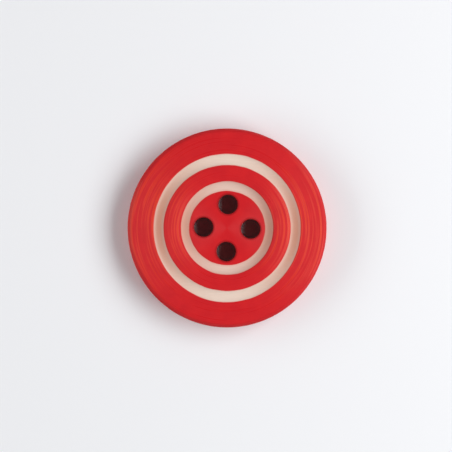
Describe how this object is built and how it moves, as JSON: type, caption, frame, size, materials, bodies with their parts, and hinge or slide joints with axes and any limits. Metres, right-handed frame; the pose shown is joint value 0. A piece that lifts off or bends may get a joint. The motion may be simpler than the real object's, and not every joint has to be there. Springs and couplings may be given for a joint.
{
  "type": "sew-through button",
  "caption": "Round sew-through clothing button of red-dyed corozo nut, with cream coves turned on both sides of a crowned ridge, and sewing holes in its sunken eye.",
  "frame": {"origin": "centre of the flat back", "axes": "+Z along the button's axis, out of its face; two of the four sewing holes lie on X and two on Y, as they do across and up the picture"},
  "size_m": [0.025, 0.025, 0.0036],
  "materials": {
    "dyed_corozo": "satin, turned and tumbled"
  },
  "bodies": {
    "root": {"button": "dyed_corozo"}
  },
  "joints": []
}
